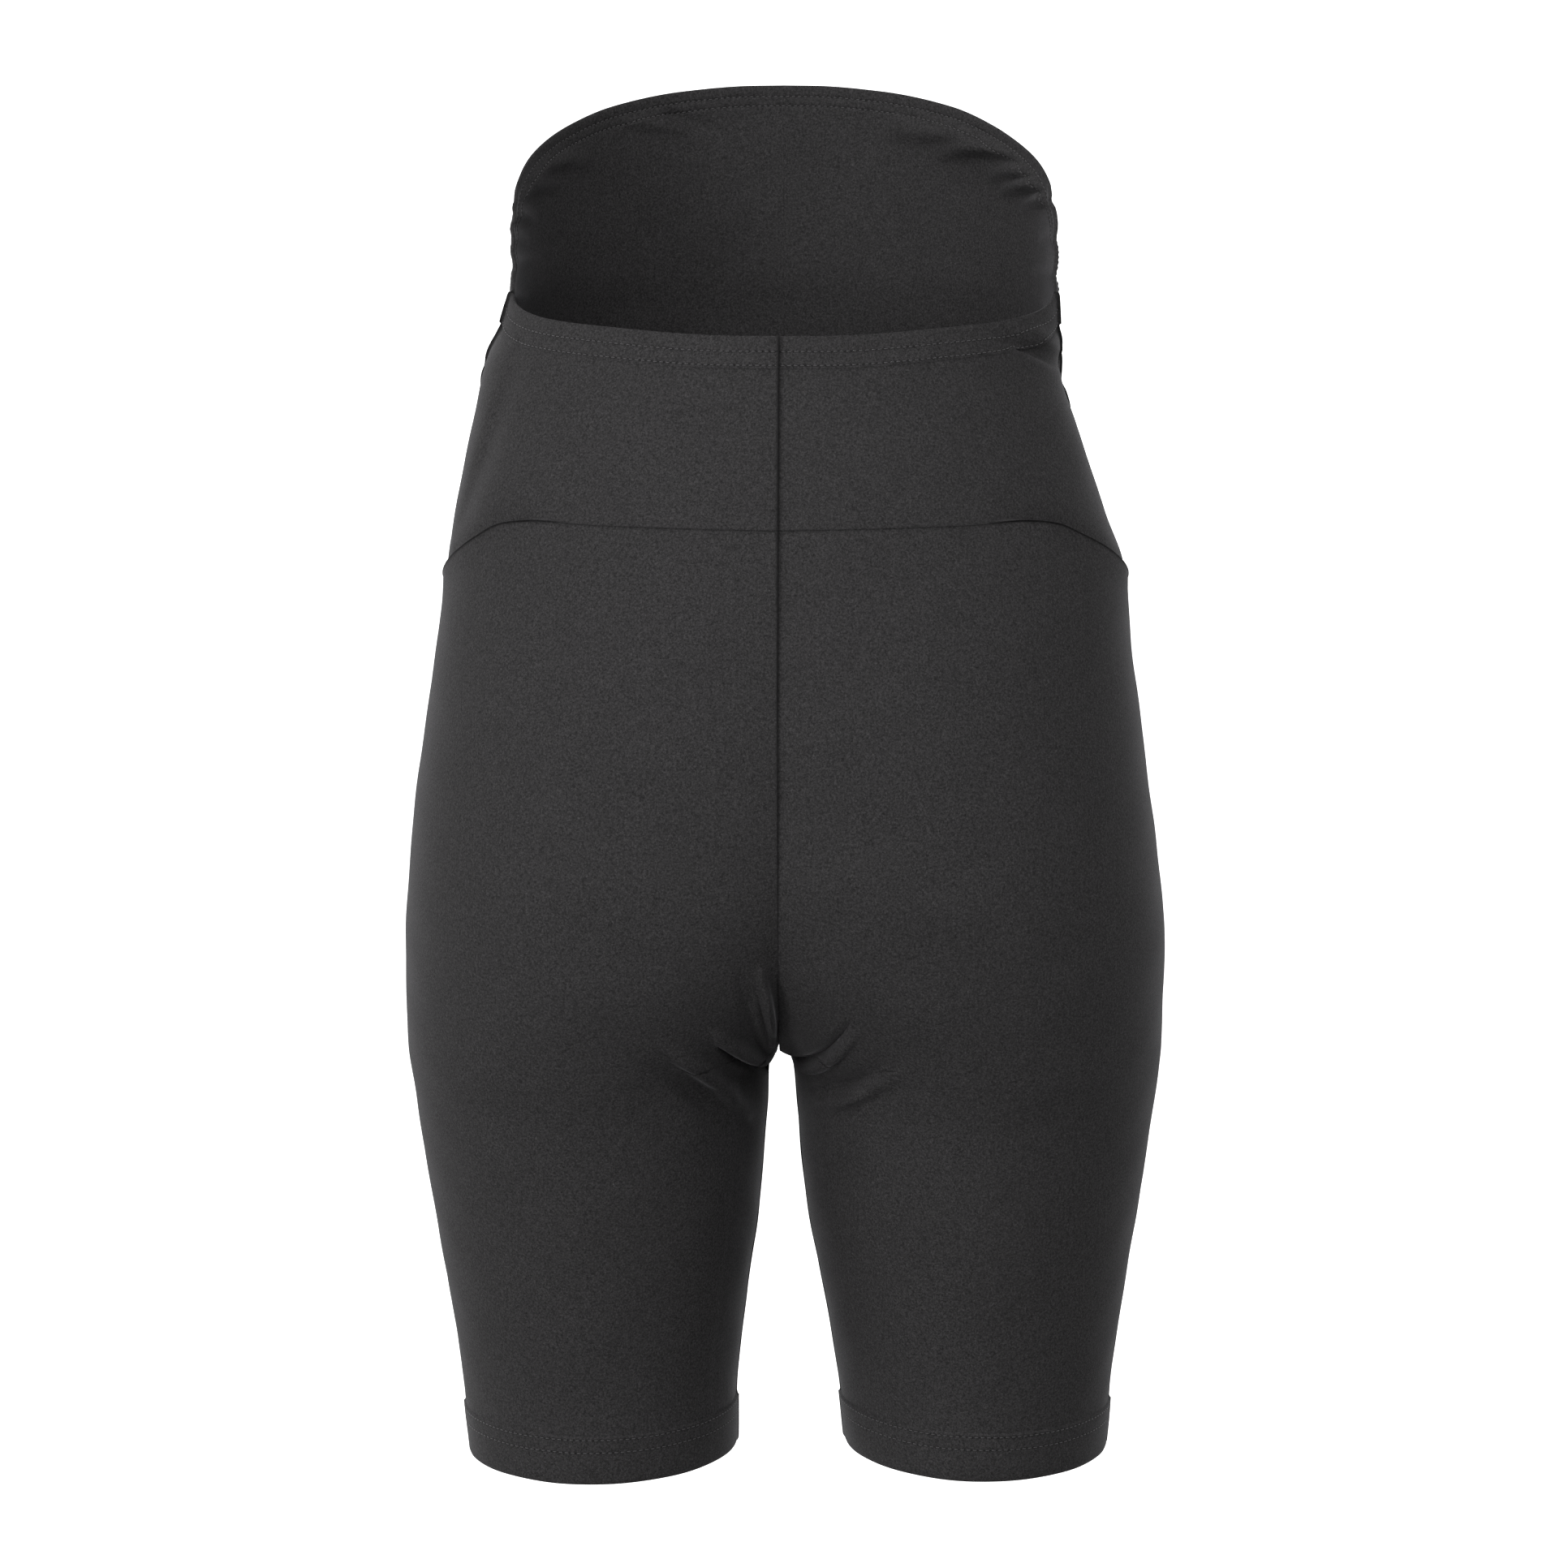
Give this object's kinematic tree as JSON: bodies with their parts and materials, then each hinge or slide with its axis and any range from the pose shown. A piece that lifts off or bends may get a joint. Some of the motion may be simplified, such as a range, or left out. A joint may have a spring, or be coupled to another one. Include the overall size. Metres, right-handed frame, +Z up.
{
  "type": "maternity cycling shorts",
  "caption": "Close-fitting maternity cycling shorts with a high gathered front panel, a low back yoke and turned leg hems, hollow as if worn.",
  "frame": {"origin": "centre of the waist, level with the low back edge, where the wearer holds the shorts up", "axes": "+Z up towards the wearer's head, +X to the wearer's left, -Y to the wearer's front"},
  "size_m": [0.349, 0.2556, 0.6324],
  "materials": {
    "jersey": "matt charcoal-black stretch jersey with a faint sheen at glancing angles"
  },
  "bodies": {
    "root": {"belly_panel": "jersey", "yoke_back_left": "jersey", "yoke_back_right": "jersey", "leg_back_left": "jersey", "leg_back_right": "jersey", "leg_front_left": "jersey", "leg_front_right": "jersey"}
  },
  "joints": []
}
